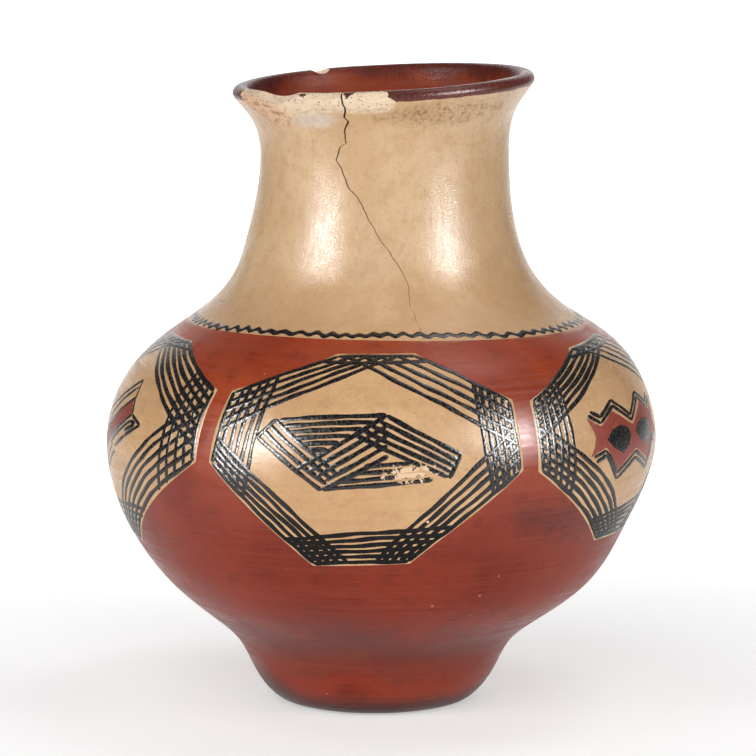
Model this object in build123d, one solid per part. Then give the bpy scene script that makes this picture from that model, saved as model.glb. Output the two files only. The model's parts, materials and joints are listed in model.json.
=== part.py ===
from build123d import *
import math
import os

# A coil-built pottery jar: a round-bottomed foot, a wide belly, a tall neck and a rolled lip.
# Millimetres, +Z up. The origin is the middle of the jar's widest round, on the floor.
# The wall is written as rings, from the floor up. Each ring has a rise above the ring
# below it, an outer radius, and a drift: how far its centre has wandered to the right,
# because a wall built by hand is never quite true.

# ---- Foot
flat_radius = 35.0
heel_rise = 5.5
heel_radius = 48.0
heel_drift = -3.2
heel_turn = 60.0        # degrees that the rounded edge turns up, from floor to heel
foot_rise = 10.5
foot_radius = 55.3
foot_drift = -3.1
waist_rise = 12.0
waist_radius = 61.8
waist_drift = -3.0

# ---- Belly
under_belly_rise = 12.0
under_belly_radius = 75.3
under_belly_drift = -2.0
low_belly_rise = 18.0
low_belly_radius = 97.1
low_belly_drift = -0.8
mid_belly_rise = 26.0
mid_belly_radius = 113.8
mid_belly_drift = -1.9
belly_rise = 36.0
belly_radius = 124.5
belly_drift = 0.0
high_belly_rise = 26.0
high_belly_radius = 118.3
high_belly_drift = 0.75

# ---- Shoulder
shoulder_rise = 20.0
shoulder_radius = 102.1
shoulder_drift = 2.5
neck_root_rise = 15.0
neck_root_radius = 80.8
neck_root_drift = 1.6

# ---- Neck
neck_foot_rise = 15.0
neck_foot_radius = 67.5
neck_foot_drift = 0.8
low_neck_rise = 20.0
low_neck_radius = 60.3
low_neck_drift = 0.25
neck_rise = 30.0
neck_radius = 56.1
neck_drift = 1.4
flare_rise = 22.0
flare_radius = 59.3
flare_drift = 1.2

# ---- Lip: the flare rolls over in an arc round a centre inside the lip
roll_centre_rise = 13.2
roll_centre_radius = 64.8
roll_radius = 3.5
roll_start = -55.0
lip_drift = 1.0
lip_thickness = 5.4
rim_lean = 2.9          # degrees that the lip is tilted, right side up

# ---- Clay
base_thickness = 8.0
wall = 5.5
foot_coils = 1          # how many coils make each zone, about 21 mm of wall from each
lower_belly_coils = 5
shoulder_coils = 4
neck_coils = 4
seam_bevel = 28.0       # degrees that a lap seam leans from square to the wall

# ---- Slip coats and painted panels, as thin skins on the clay, measured level
slip = 0.4
slip_gap = 0.05
neck_line_above_shoulder = 9.3
slip_below_roll = 6.0
panel_count = 5
first_panel_azimuth = -3.9
panel_top_above_belly = 51.5
panel_top_half = 19.0
panel_shoulder_above_belly = 34.5
panel_shoulder_half = 61.0
panel_side_above_belly = 3.0
panel_side_half = 68.0
panel_foot_below_belly = 38.5
panel_foot_half = 20.5
panel_gap = 0.1

# ---- Chips out of the lip: azimuth from the front towards the right, width along the
# lip, depth into it, and how far outside the crest the bite comes from, in degrees
long_chip_azimuth = -45.0
long_chip_width = 34.0
long_chip_depth = 4.0
long_chip_slant = 35.0
middle_chip_azimuth = -23.0
middle_chip_width = 20.0
middle_chip_depth = 2.0
middle_chip_slant = 35.0
outer_chip_azimuth = -5.0
outer_chip_width = 18.0
outer_chip_depth = 2.2
outer_chip_slant = 55.0
back_chip_azimuth = -155.0
back_chip_width = 8.0
back_chip_depth = 1.6
back_chip_slant = 10.0

# ---- Cutters: how far a seam reaches past the wall, and a cutter past the whole jar
seam_reach = 2.2 * wall
clear = 60.0


def stack(levels):
    """Add up the rises, and give each ring as a point: radius, drift, height."""
    height, points = 0.0, []
    for rise, radius, drift in levels:
        height += rise
        points.append((radius, drift, height))
    return points


def heel_bend():
    """The middle point of the ellipse arc that rounds the floor into the heel."""
    turn = math.radians(heel_turn)
    reach = (heel_radius - flat_radius) / math.sin(turn)
    drop = heel_rise / (1 - math.cos(turn))
    half = turn / 2
    return flat_radius + reach * math.sin(half), drop * (1 - math.cos(half))


def roll_arc(flare_height):
    """Points of the lip's outer roll, from under the lip to its crest."""
    centre = flare_height + roll_centre_rise
    points = []
    for angle in (roll_start, 0.0, 45.0, 90.0):
        turn = math.radians(angle)
        radius = roll_centre_radius + roll_radius * math.cos(turn)
        points.append((radius, lip_drift, centre + roll_radius * math.sin(turn)))
    return points


bend_radius, bend_height = heel_bend()
LEVELS = [
    (0.0, flat_radius, heel_drift),
    (bend_height, bend_radius, heel_drift),
    (heel_rise - bend_height, heel_radius, heel_drift),
    (foot_rise, foot_radius, foot_drift),
    (waist_rise, waist_radius, waist_drift),
    (under_belly_rise, under_belly_radius, under_belly_drift),
    (low_belly_rise, low_belly_radius, low_belly_drift),
    (mid_belly_rise, mid_belly_radius, mid_belly_drift),
    (belly_rise, belly_radius, belly_drift),
    (high_belly_rise, high_belly_radius, high_belly_drift),
    (shoulder_rise, shoulder_radius, shoulder_drift),
    (neck_root_rise, neck_root_radius, neck_root_drift),
    (neck_foot_rise, neck_foot_radius, neck_foot_drift),
    (low_neck_rise, low_neck_radius, low_neck_drift),
    (neck_rise, neck_radius, neck_drift),
    (flare_rise, flare_radius, flare_drift),
]
LOWER = stack(LEVELS)
OUTLINE = LOWER + roll_arc(LOWER[-1][2])
HEEL, WAIST, BELLY, SHOULDER, NECK_ROOT, FLARE = 2, 4, 8, 10, 11, 15
belly_height = OUTLINE[BELLY][2]
shoulder_height = OUTLINE[SHOULDER][2]
neck_root_height = OUTLINE[NECK_ROOT][2]
crest_height = OUTLINE[-1][2]
neck_line_height = shoulder_height + neck_line_above_shoulder
curve = Spline(*OUTLINE)


def fraction_at(height):
    """How far along the outline the wall stands at this height, found by halving."""
    low, high = 0.0, 1.0
    while high - low > 1e-9:
        middle = (low + high) / 2
        if (curve @ middle).Z < height:
            low = middle
        else:
            high = middle
    return high


def frame_at(fraction):
    """The outline's point and outward normal, as (radius, height) pairs, and its plane."""
    point, along = curve @ fraction, curve % fraction
    size = math.hypot(along.X, along.Z)
    normal = (along.Z / size, -along.X / size)
    above = max(0.0, point.Z - neck_root_height) / (crest_height - neck_root_height)
    lean = math.radians(rim_lean) * above
    plane = Plane(
        origin=(point.Y, 0, point.Z),
        x_dir=(math.cos(lean), 0, math.sin(lean)),
        z_dir=(-math.sin(lean), 0, math.cos(lean)),
    )
    return point, normal, plane


def inner_ring(fraction, inset):
    """The round of the wall's inside at one place, which is the inset away, square to the wall."""
    point, normal, plane = frame_at(fraction)
    level = plane.offset(-inset * normal[1])
    return Wire.make_circle(point.X - inset * normal[0], level)


def outer_body(growth=0.0):
    """The jar as if it were solid, up to its crest: a loft with a ring at each point.
    Every ring grows level by the same amount, so that two of these bodies never cross."""
    rings = []
    for mark in OUTLINE:
        point, _, plane = frame_at(curve.param_at_point(mark))
        rings.append(Wire.make_circle(point.X + growth, plane))
    return Solid.make_loft(rings)


def hollow():
    """The space inside, from the floor of the pot out through the mouth."""
    rings = []
    for point in LOWER:
        share = min(1.0, point[2] / OUTLINE[WAIST][2])
        inset = base_thickness + (wall - base_thickness) * share
        rings.append(inner_ring(curve.param_at_point(point), inset))
    _, _, crest = frame_at(1.0)
    mouth_radius = roll_centre_radius + roll_radius - lip_thickness
    rings.append(Wire.make_circle(mouth_radius, crest.offset(-roll_radius / 2)))
    rings.append(Wire.make_circle(mouth_radius + roll_radius, crest.offset(2 * roll_radius)))
    return Solid.make_loft(rings)


def below(fraction, bevel):
    """Everything under a seam. The seam is a cone across the wall, leaning by the bevel."""
    point, normal, plane = frame_at(fraction)
    turn = math.radians(bevel)
    lean_x = normal[0] * math.cos(turn) + normal[1] * math.sin(turn)
    lean_z = normal[1] * math.cos(turn) - normal[0] * math.sin(turn)
    middle = (point.X - normal[0] * wall / 2, -normal[1] * wall / 2)
    outer = (middle[0] + lean_x * seam_reach, middle[1] + lean_z * seam_reach)
    inner = (middle[0] - lean_x * seam_reach, middle[1] - lean_z * seam_reach)
    far, deep = belly_radius + clear, -point.Z - clear
    outline = Polyline(
        (0, inner[1]), inner, outer, (far, outer[1]), (far, deep), (0, deep), close=True
    )
    return plane.location * revolve(Plane.XZ * make_face(outline), Axis.Z)


def bite(azimuth, width, depth, slant):
    """A ball that takes a shell-shaped chip of this width and depth out of the lip."""
    ball = (width * width / 4 + depth * depth) / (2 * depth)
    _, _, crest = frame_at(1.0)
    lift = math.radians(slant)
    out = roll_centre_radius + (roll_radius + ball - depth) * math.sin(lift)
    up = (roll_radius + ball - depth) * math.cos(lift) - roll_radius
    turn = math.radians(azimuth)
    spot = (out * math.sin(turn), -out * math.cos(turn), up)
    return crest.location * Pos(*spot) * Sphere(ball)


def chips():
    """The four bites out of the lip."""
    return [
        bite(long_chip_azimuth, long_chip_width, long_chip_depth, long_chip_slant),
        bite(middle_chip_azimuth, middle_chip_width, middle_chip_depth, middle_chip_slant),
        bite(outer_chip_azimuth, outer_chip_width, outer_chip_depth, outer_chip_slant),
        bite(back_chip_azimuth, back_chip_width, back_chip_depth, back_chip_slant),
    ]


def seams():
    """The seams in order, and the name of the piece above each of them."""
    zones = [
        ("foot_coil", foot_coils, HEEL, WAIST),
        ("lower_belly_coil", lower_belly_coils, WAIST, BELLY),
        ("shoulder_coil", shoulder_coils, BELLY, NECK_ROOT),
        ("neck_coil", neck_coils, NECK_ROOT, FLARE),
    ]
    places, names = [], []
    for name, count, start, end in zones:
        first = curve.param_at_point(OUTLINE[start])
        last = curve.param_at_point(OUTLINE[end])
        for number in range(count):
            places.append(first + (last - first) * number / count)
            names.append(f"{name}_{number + 1}")
    places.append(curve.param_at_point(OUTLINE[FLARE]))
    return places, names


def clay_pieces():
    """The base pat, the coils in order and the rim coil, lapped at their seams."""
    clay = outer_body() - hollow()
    places, names = seams()
    under = [below(place, seam_bevel) for place in places]
    pieces = {"base_pat": clay & under[0]}
    for number, name in enumerate(names):
        pieces[name] = clay & (under[number + 1] - under[number])
    rim = clay - under[-1]
    for chip in chips():
        rim = rim - chip
    pieces["rim_coil"] = rim
    return pieces


def coat(first, last):
    """A thin skin of slip on the clay, from one place on the outline to another."""
    inner = outer_body(slip_gap)
    outer = outer_body(slip_gap + slip)
    return (outer - inner) & (below(last, 0) - below(first, 0))


def panel_prism(number, gap):
    """The eight-sided outline of one painted panel, pushed out through the belly."""
    turn = math.radians(first_panel_azimuth + 360 * number / panel_count)
    plane = Plane(
        origin=(belly_drift, 0, belly_height),
        x_dir=(math.cos(turn), math.sin(turn), 0),
        z_dir=(math.sin(turn), -math.cos(turn), 0),
    )
    right = [
        (panel_top_half, panel_top_above_belly),
        (panel_shoulder_half, panel_shoulder_above_belly),
        (panel_side_half, panel_side_above_belly),
        (panel_foot_half, -panel_foot_below_belly),
    ]
    left = [(-x, y) for x, y in reversed(right)]
    sketch = make_face(Polyline(*right, *left, close=True))
    if gap:
        sketch = offset(sketch, gap, kind=Kind.INTERSECTION)
    return extrude(plane * sketch, belly_radius + clear)


def slip_pieces():
    """The red coat with a window for each panel, the panels, and the cream neck coat."""
    heel = curve.param_at_point(OUTLINE[HEEL])
    neck_line = fraction_at(neck_line_height)
    lip = fraction_at(OUTLINE[FLARE + 1][2] - slip_below_roll)
    body = coat(heel, neck_line)
    pieces = {"cream_neck_slip": coat(neck_line, lip)}
    red = body
    for number in range(panel_count):
        pieces[f"painted_panel_{number + 1}"] = body & panel_prism(number, 0)
        red = red - panel_prism(number, panel_gap)
    pieces["red_body_slip"] = red
    return pieces


os.makedirs("parts", exist_ok=True)
for node, shape in {**clay_pieces(), **slip_pieces()}.items():
    export_step(shape, f"parts/{node}.step")
    print(node, round(shape.volume), "mm3", len(shape.solids()), "solid")
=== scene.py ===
# %% [markdown]
# # A painted pueblo jar, built round its packed frame
#
# The real jar is one fired pot. It was coiled up by hand from foot to lip, scraped,
# coated with red and cream slip, rubbed with a smooth stone, painted with a boiled-plant
# black and fired outdoors. It has been chipped and cracked since.
#
# The CAD frame holds the clay and the slip coats as solids. This script dresses them: each
# step below makes one piece or one finish, says what it is on the real jar, and shows how
# to build it. Lengths are millimetres and azimuths are degrees from the front towards the
# right, until a mesh is made in metres.

# %% Load the frame
import json
import math
import bpy
import numpy as np
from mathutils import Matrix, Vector
from mathutils.geometry import delaunay_2d_cdt

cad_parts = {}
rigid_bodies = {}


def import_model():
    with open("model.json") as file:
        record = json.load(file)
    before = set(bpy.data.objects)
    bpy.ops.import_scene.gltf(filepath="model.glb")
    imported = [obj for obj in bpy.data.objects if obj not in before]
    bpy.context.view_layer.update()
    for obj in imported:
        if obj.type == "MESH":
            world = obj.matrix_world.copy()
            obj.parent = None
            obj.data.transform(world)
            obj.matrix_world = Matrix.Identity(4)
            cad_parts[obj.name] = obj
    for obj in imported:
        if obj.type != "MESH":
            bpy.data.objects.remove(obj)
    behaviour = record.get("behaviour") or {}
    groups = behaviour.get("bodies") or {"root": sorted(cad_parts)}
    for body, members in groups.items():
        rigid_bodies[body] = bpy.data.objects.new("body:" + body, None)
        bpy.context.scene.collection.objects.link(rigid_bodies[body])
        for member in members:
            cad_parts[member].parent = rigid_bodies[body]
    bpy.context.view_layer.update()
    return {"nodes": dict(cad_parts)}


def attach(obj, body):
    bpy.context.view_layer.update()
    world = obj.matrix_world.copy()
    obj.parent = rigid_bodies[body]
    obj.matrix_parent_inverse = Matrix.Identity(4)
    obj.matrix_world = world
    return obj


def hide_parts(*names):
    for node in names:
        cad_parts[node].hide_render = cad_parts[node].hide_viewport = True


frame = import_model()
MM = 0.001
print("CAD nodes:", len(frame["nodes"]))

# %% [markdown]
# ## The wall's outline
#
# A coiled wall is judged by eye and is never quite true. So the outline is a smooth curve
# through rings, and each ring has its own centre. The rings are those of the CAD part:
# height, outer radius, and how far the centre has drifted to the right. Past the crest
# the outline turns over the lip and runs down inside the mouth.

# %% Rings of the outline, and a smooth curve
RINGS = np.array([
    (0.0, 35.0, -3.2), (1.47, 42.5, -3.2), (5.5, 48.0, -3.2), (16.0, 55.3, -3.1),
    (28.0, 61.8, -3.0), (40.0, 75.3, -2.0), (58.0, 97.1, -0.8), (84.0, 113.8, -1.9),
    (120.0, 124.5, 0.0), (146.0, 118.3, 0.75), (166.0, 102.1, 2.5), (181.0, 80.8, 1.6),
    (196.0, 67.5, 0.8), (216.0, 60.3, 0.25), (246.0, 56.1, 1.4), (268.0, 59.3, 1.2),
    (278.33, 66.8, 1.0), (281.2, 68.3, 1.0), (283.67, 67.27, 1.0), (284.7, 64.8, 1.0),
])
INSIDE_LIP = np.array([(283.9, 62.3, 1.0), (281.6, 61.0, 1.0), (278.0, 59.6, 1.0), (273.0, 57.0, 1.1)])
INSIDE_FLOOR = np.array([(8.2, 26.0, -3.2), (8.0, 0.6, -3.2)])
CREST = len(RINGS) - 1
FIRST_INSIDE, LAST_INSIDE = 2, 16     # the rings that have a partner inside the wall
WALL, BASE = 5.5, 8.0                 # thickness of the wall, and of the clay under the pot
THIN_FROM = 28.0                      # height where the wall has thinned to its full height's thickness
NECK_ROOT, CREST_HEIGHT, RIM_LEAN = 181.0, 284.7, 2.9


def spline(knots, values):
    """A smooth curve through the values: the natural cubic spline."""
    gaps, count = np.diff(knots), len(knots)
    slopes = np.diff(values, axis=0) / gaps[:, None]
    matrix, right = np.zeros((count, count)), np.zeros((count, values.shape[1]))
    matrix[0, 0] = matrix[-1, -1] = 1
    for i in range(1, count - 1):
        matrix[i, i - 1:i + 2] = gaps[i - 1], 2 * (gaps[i - 1] + gaps[i]), gaps[i]
        right[i] = 6 * (slopes[i] - slopes[i - 1])
    bend = np.linalg.solve(matrix, right)

    def at(t):
        t = np.asarray(t, float)
        i = np.clip(np.searchsorted(knots, t) - 1, 0, count - 2)
        a, b, h = (knots[i + 1] - t)[..., None], (t - knots[i])[..., None], gaps[i][..., None]
        return ((bend[i] * a**3 + bend[i + 1] * b**3) / (6 * h)
                + (values[i] / h - bend[i] * h / 6) * a + (values[i + 1] / h - bend[i + 1] * h / 6) * b)
    return at


def run(points):
    """Length along the points, from the first."""
    return np.concatenate([[0], np.cumsum(np.hypot(*np.diff(points[:, :2], axis=0).T))])


print("rings of the outline:", len(RINGS), "from floor to crest")

# %% [markdown]
# ## The inside of the wall
#
# A potter feels the wall between two hands, and keeps it even. So the inside is the outside
# moved in by the wall's thickness, square to the wall. It is thicker towards the base.

# %% Inside rings, and the whole outline
def inner_rings():
    """The inside of the wall: outer rings moved in, square to the wall, from flare to foot."""
    outline = spline(run(RINGS), RINGS)
    where = run(RINGS)[FIRST_INSIDE:LAST_INSIDE][::-1]
    slope = outline(where + 0.1) - outline(where - 0.1)
    size = np.hypot(slope[:, 0], slope[:, 1])
    rings = RINGS[FIRST_INSIDE:LAST_INSIDE][::-1].copy()
    thick = WALL + (BASE - WALL) * np.clip(1 - rings[:, 0] / THIN_FROM, 0, 1)
    rings[:, 0] += thick * slope[:, 1] / size
    rings[:, 1] -= thick * slope[:, 0] / size
    return rings


WHOLE = np.vstack([RINGS, INSIDE_LIP, inner_rings(), INSIDE_FLOOR])
ALONG = run(WHOLE)
CREST_AT, END_AT = float(ALONG[CREST]), float(ALONG[-1])
profile = spline(ALONG, WHOLE)
print("outline from floor to crest:", round(CREST_AT, 1), "mm")
print("and over the lip to the inside floor:", round(END_AT, 1), "mm")

# %% [markdown]
# ## A point of the wall
#
# A scraped wall is never a true turned form. Each point is pushed out or in by a few slow
# waves, and by a lift for whatever lies on it, such as slip or paint. The neck leans a
# little to the right, so its points turn with that lean.

# %% A point of the wall
# Waves of the wall: size in mm, turns round the pot, mm of rise, and start.
UNEVEN = [(0.05, 3, 31, 1.0), (0.04, 5, -23, 2.2), (0.03, 9, 17, 4.0), (0.02, 15, -12, 5.1)]
# How far the slip stands off the outline, by distance along it.
COAT_LIFT = ([0, 6, CREST_AT - 14, CREST_AT - 4, END_AT], [0, 0.2, 0.2, -0.15, -0.15])


def unevenness(azimuth, height):
    """How far the scraped wall stands out or in."""
    return sum(size * np.sin(turns * azimuth + height / rise + start) for size, turns, rise, start in UNEVEN)


def wall_point(azimuth, along, lift=0.0):
    """A point of the wall: azimuth in degrees, distance along the outline, lift off the surface."""
    azimuth, along = np.broadcast_arrays(np.radians(azimuth), np.asarray(along, float))
    height, radius, drift = np.moveaxis(profile(along), -1, 0)
    step = profile(along + 0.05) - profile(along - 0.05)
    size = np.hypot(step[..., 0], step[..., 1])
    out, up = step[..., 0] / size, -step[..., 1] / size
    push = lift + np.interp(along, *COAT_LIFT) + unevenness(azimuth, height) * np.clip(along / 12, 0, 1)
    radius, height = radius + push * out, height + push * up
    lean = math.radians(RIM_LEAN) * np.clip((height - NECK_ROOT) / (CREST_HEIGHT - NECK_ROOT), 0, 1)
    right = radius * np.sin(azimuth)
    x, y, z = drift + right * np.cos(lean), -radius * np.cos(azimuth), height + right * np.sin(lean)
    return np.stack([x, y, z], -1)


print("the lip's front stands at", np.round(wall_point(0.0, CREST_AT), 1).tolist())

# %% [markdown]
# ## Marks on the wall
#
# A brush or a crack goes straight where the wall is unrolled. So marks are given as azimuth
# and height, which can be read from a picture, and are turned into azimuth and distance
# along the outline.

# %% Marks on the wall
OUTER_ALONG = np.linspace(0, CREST_AT, 4000)
OUTER_HEIGHT = profile(OUTER_ALONG)[:, 0]


def along_at(height):
    """How far along the outline the outer wall stands at this height."""
    return np.interp(height, OUTER_HEIGHT, OUTER_ALONG)


def marks(*places):
    """(azimuth, height) marks as (azimuth, along) points, which is where brush and crack run straight."""
    places = np.array(places, float)
    return np.stack([places[:, 0], along_at(places[:, 1])], -1)


print("the widest round lies", round(float(along_at(RINGS[8, 0])), 1), "mm up the outline")

# %% [markdown]
# ## Turning grids of points into pieces
#
# The wall is a grid of points: rows go up the outline and columns go round the pot, till
# the last one closes on the first. A UV map called OFBake unrolls the wall, so that its
# materials can be baked.

# %% Pieces and their attributes
def make_piece(name, points, faces, uv):
    """A smooth mesh from points in mm, faces, and a function that gives each face corner's UV."""
    mesh = bpy.data.meshes.new(name)
    mesh.from_pydata((np.asarray(points) * MM).tolist(), [], faces)
    mesh.polygons.foreach_set("use_smooth", np.ones(len(mesh.polygons), bool))
    corners = np.zeros(len(mesh.loops), np.int32)
    mesh.loops.foreach_get("vertex_index", corners)
    mesh.uv_layers.new(name="OFBake").data.foreach_set("uv", np.asarray(uv(corners), np.float32).ravel())
    piece = bpy.data.objects.new(name, mesh)
    bpy.context.scene.collection.objects.link(piece)
    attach(piece, "root")
    return piece


def attribute(piece, name, values):
    """A number for every point of a piece, which its material reads."""
    layer = piece.data.attributes.new(name, "FLOAT", "POINT")
    layer.data.foreach_set("value", np.asarray(values, np.float32).ravel())


print("one millimetre of a drawing becomes", MM, "of a metre in a mesh")

# %% [markdown]
# ## Grids that close round the pot
#
# The last column of faces joins the first column of points, so the wall has no seam. Only
# its UV map has one, where the columns begin, and there it runs on to 1, not back to 0.

# %% Grids that close round the pot
def round_grid(rows, columns):
    """Faces of a grid of points that closes round the pot."""
    r, c = np.meshgrid(np.arange(rows - 1), np.arange(columns), indexing="ij")
    n = (c + 1) % columns
    low, high = r * columns, (r + 1) * columns
    return np.stack([low + c, low + n, high + n, high + c], -1).reshape(-1, 4)


def round_uv(rows, columns):
    """UV for such a grid. The last column of faces ends at 1, and not at 0."""
    def fill(corners):
        u = ((corners % columns) / columns).reshape(-1, 4)
        wraps = u.max(1) - u.min(1) > 0.5
        u[wraps] = np.where(u[wraps] < 0.5, u[wraps] + 1, u[wraps])
        v = (corners // columns) / (rows - 1)
        return 0.01 + 0.98 * np.stack([u.ravel(), v], -1)
    return fill


print("a wall of 480 by 170 points would have", len(round_grid(170, 480)), "faces")

# %% [markdown]
# ## Areas on the neck
#
# Damage and stains are areas with a ragged edge. Each is given by a few corners, and every
# point of the wall is told how many mm inside the area it lies. A material can then make
# the edge sharp, soft or ragged by itself.

# %% Areas on the neck
WIDE = 1.15     # mm of neck wall in one degree, near the lip
FAR = 1e9       # more mm than anything here


def near_line(places, path):
    """Distance in mm from places to a closed path, both as (azimuth, along), and whether they lie in it."""
    scale = np.array([WIDE, 1.0])
    spots, ends = places * scale, path * scale
    best = np.full(spots.shape[:-1], FAR)
    crossings = np.zeros(spots.shape[:-1], int)
    for a, b in zip(ends, np.roll(ends, -1, 0)):
        t = np.clip(((spots - a) @ (b - a)) / ((b - a) @ (b - a)), 0, 1)
        best = np.minimum(best, np.linalg.norm(spots - a - t[..., None] * (b - a), axis=-1))
        rises = (a[1] > spots[..., 1]) != (b[1] > spots[..., 1])
        level = np.where(rises, (spots[..., 1] - a[1]) / ((b[1] - a[1]) or 1.0), 0)
        crossings += rises & (spots[..., 0] < a[0] + level * (b[0] - a[0]))
    return best, crossings % 2 == 1


def inside_of(places, *corners):
    """How many mm each place lies inside a shape given by its corners. Outside it is negative."""
    far, within = near_line(places, marks(*corners))
    return np.where(within, far, -far)


square = inside_of(np.array([0.0, along_at(250.0)]), (-5, 245), (5, 245), (5, 255), (-5, 255))
print("the middle of a 10 degree square lies", round(float(square), 1), "mm inside it")

# %% [markdown]
# ## Shared effects
#
# Several finishes share an effect, so each effect is a node group that gives only numbers:
# streaks from the polishing stone, uneven slip, pores in bare clay, and sparse spots for
# specks, flakes and scratches. All of them are made from noise in the object's own space,
# so they run on without a seam from piece to piece. First come short words for adding and
# joining nodes.

# %% Short words for wiring nodes
class Nodes:
    """Short words for adding nodes to one tree."""

    def __init__(self, tree):
        self.tree = tree

    def node(self, kind, **settings):
        made = self.tree.nodes.new(kind)
        for key, value in settings.items():
            setattr(made, key, value)
        return made

    def put(self, socket, value):
        if isinstance(value, bpy.types.NodeSocket):
            self.tree.links.new(value, socket)
        elif value is not None:
            socket.default_value = value

    def math(self, kind, a, b=None):
        made = self.node("ShaderNodeMath", operation=kind)
        for socket, value in zip(made.inputs, (a, b)):
            self.put(socket, value)
        return made.outputs[0]

    def stretch(self, vector, scale, turn=(0, 0, 0)):
        made = self.node("ShaderNodeMapping")
        self.put(made.inputs["Vector"], vector)
        made.inputs["Scale"].default_value = scale
        made.inputs["Rotation"].default_value = turn
        return made.outputs[0]

    def noise(self, vector, scale, detail=2.0, rough=0.5, warp=0.0):
        made = self.node("ShaderNodeTexNoise")
        for key, value in (("Vector", vector), ("Scale", scale), ("Detail", detail),
                           ("Roughness", rough), ("Distortion", warp)):
            self.put(made.inputs[key], value)
        return made.outputs["Fac"]

    def cells(self, vector, scale):
        """Distance to the nearest of many scattered points, and two random numbers for that point."""
        made = self.node("ShaderNodeTexVoronoi", feature="F1")
        self.put(made.inputs["Vector"], vector)
        self.put(made.inputs["Scale"], scale)
        parts = self.node("ShaderNodeSeparateColor")
        self.put(parts.inputs[0], made.outputs["Color"])
        return made.outputs["Distance"], parts.outputs[0], parts.outputs[1]

    def ramp(self, value, low, high, at_low=0.0, at_high=1.0, smooth=True):
        made = self.node("ShaderNodeMapRange", interpolation_type="SMOOTHSTEP" if smooth else "LINEAR")
        for key, number in (("Value", value), ("From Min", low), ("From Max", high),
                            ("To Min", at_low), ("To Max", at_high)):
            self.put(made.inputs[key], number)
        return made.outputs[0]


print("node words:", ", ".join(word for word in vars(Nodes) if word[0] != "_"))

# %% [markdown]
# ## Words for wear and colour
#
# Wear is never cut clean, so a value in mm gets noise before an edge is drawn from it. A
# tint lays one colour over another. A few words more read an attribute or a place.

# %% Words for wear and colour
class Wiring(Nodes):
    """Words for ragged edges, tints, bumps and what is known of a place."""

    def ragged(self, value, noise, swing):
        """A value in mm, moved up and down by noise, so that an edge drawn from it is ragged."""
        return self.math("ADD", value, self.math("MULTIPLY", self.math("SUBTRACT", noise, 0.5), swing))

    def mix(self, share, a, b):
        made = self.node("ShaderNodeMix", data_type="RGBA")
        for socket, value in zip((made.inputs[0], made.inputs[6], made.inputs[7]), (share, a, b)):
            self.put(socket, value)
        return made.outputs[2]

    def tint(self, colour, mask, strength, other):
        """Another colour laid over this one, as strongly as the mask says."""
        return self.mix(self.math("MULTIPLY", mask, strength), colour, other)

    def bump(self, height, strength, distance, normal=None):
        made = self.node("ShaderNodeBump")
        self.put(made.inputs["Height"], height)
        self.put(made.inputs["Strength"], strength)
        made.inputs["Distance"].default_value = distance
        self.put(made.inputs["Normal"], normal)
        return made.outputs[0]

    def read(self, name):
        return self.node("ShaderNodeAttribute", attribute_name=name).outputs["Fac"]

    def place(self):
        return self.node("ShaderNodeTexCoord").outputs["Object"]

    def axis(self, name):
        made = self.node("ShaderNodeSeparateXYZ")
        self.put(made.inputs[0], self.place())
        return made.outputs[name]


print("wiring words:", ", ".join(word for word in vars(Wiring) if word[0] != "_"))

# %% [markdown]
# ## Streaks of the polishing stone
#
# A polishing stone leaves fine streaks the way it was rubbed, and patches that shine more
# than others. Long thin noise gives the streaks. It is mixed with broad noise for the gloss.

# %% Streaks of the polishing stone
def new_effect(name, inputs, outputs):
    """A node group with its own sockets: a vector, some numbers in, and numbers out."""
    group = bpy.data.node_groups.new(name, "ShaderNodeTree")
    group.interface.new_socket("Vector", in_out="INPUT", socket_type="NodeSocketVector")
    for title, value in inputs.items():
        group.interface.new_socket(title, in_out="INPUT", socket_type="NodeSocketFloat").default_value = value
    for title in outputs:
        group.interface.new_socket(title, in_out="OUTPUT", socket_type="NodeSocketFloat")
    given, out = group.nodes.new("NodeGroupInput"), group.nodes.new("NodeGroupOutput")
    return group, Wiring(group), given.outputs, out.inputs


def burnish_effect():
    """Fine streaks left by a polishing stone: level when Level is 1, upright when it is 0."""
    group, w, given, out = new_effect("burnish_streaks", {"Level": 1.0}, ["Streak", "Gloss"])
    level = w.noise(w.stretch(given["Vector"], (14, 14, 620)), 1.0, 3, 0.6)
    upright = w.noise(w.stretch(given["Vector"], (420, 420, 14)), 1.0, 3, 0.6)
    streak = w.math("ADD", w.math("MULTIPLY", level, given["Level"]),
                    w.math("MULTIPLY", upright, w.math("SUBTRACT", 1.0, given["Level"])))
    patch = w.noise(given["Vector"], 38.0, 3, 0.6)
    both = w.math("ADD", w.math("MULTIPLY", streak, 0.55), w.math("MULTIPLY", patch, 0.45))
    w.put(out["Streak"], streak)
    w.put(out["Gloss"], w.ramp(both, 0.38, 0.62))
    return group


BURNISH = burnish_effect()
print("made", BURNISH.name)

# %% [markdown]
# ## Uneven slip
#
# Slip is mopped on by hand and takes the fire unevenly, so its colour drifts in clouds,
# breaks into blots as large as a finger, and has a fine grain. Three noises give the three.

# %% Uneven slip
def mottle_effect():
    """Uneven slip: broad clouds, finger-sized blots and a fine grain."""
    group, w, given, out = new_effect("slip_mottle", {}, ["Clouds", "Blots", "Grain"])
    w.put(out["Clouds"], w.ramp(w.noise(given["Vector"], 20.0, 4, 0.6, 0.4), 0.3, 0.7))
    w.put(out["Blots"], w.noise(given["Vector"], 130.0, 4, 0.65, 0.3))
    w.put(out["Grain"], w.noise(given["Vector"], 1100.0, 3, 0.7))
    return group


MOTTLE = mottle_effect()
print("made", MOTTLE.name)

# %% [markdown]
# ## Pores of bare clay
#
# Where slip has come off, the clay shows small pores left by grains of temper. They are the
# middles of scattered cells, and only a part of the cells has one.

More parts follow.
